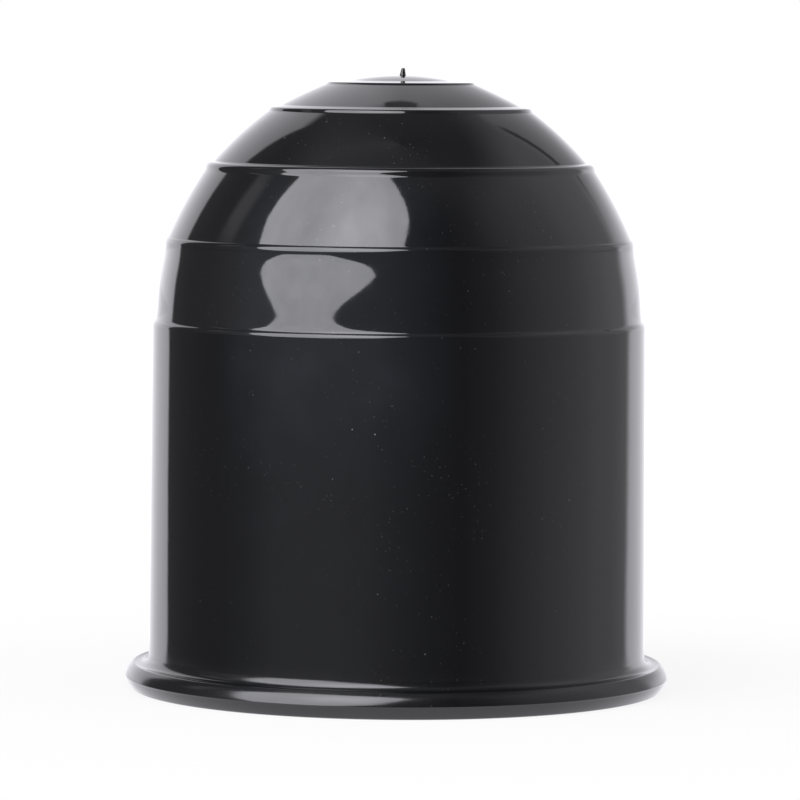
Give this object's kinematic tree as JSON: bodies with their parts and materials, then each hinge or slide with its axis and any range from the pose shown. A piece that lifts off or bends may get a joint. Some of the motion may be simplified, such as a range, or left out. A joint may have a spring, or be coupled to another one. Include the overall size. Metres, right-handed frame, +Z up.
{
  "type": "tow ball cover",
  "caption": "Push-on cover for a towing ball: a one-piece black plastic cap with a stepped dome, a plain skirt and a rounded rim, open at the foot.",
  "frame": {"origin": "centre of the rim's foot, on the axis of the bore", "axes": "+Z up the axis of the cover, from the open mouth to the crown; the cover is round, so +X and +Y are any two directions across it"},
  "size_m": [0.0606, 0.0606, 0.0692],
  "materials": {
    "shell": "glossy black moulded plastic with a faint waviness, fine dust and light scuffs"
  },
  "bodies": {
    "root": {"ball_cover": "shell"}
  },
  "joints": []
}
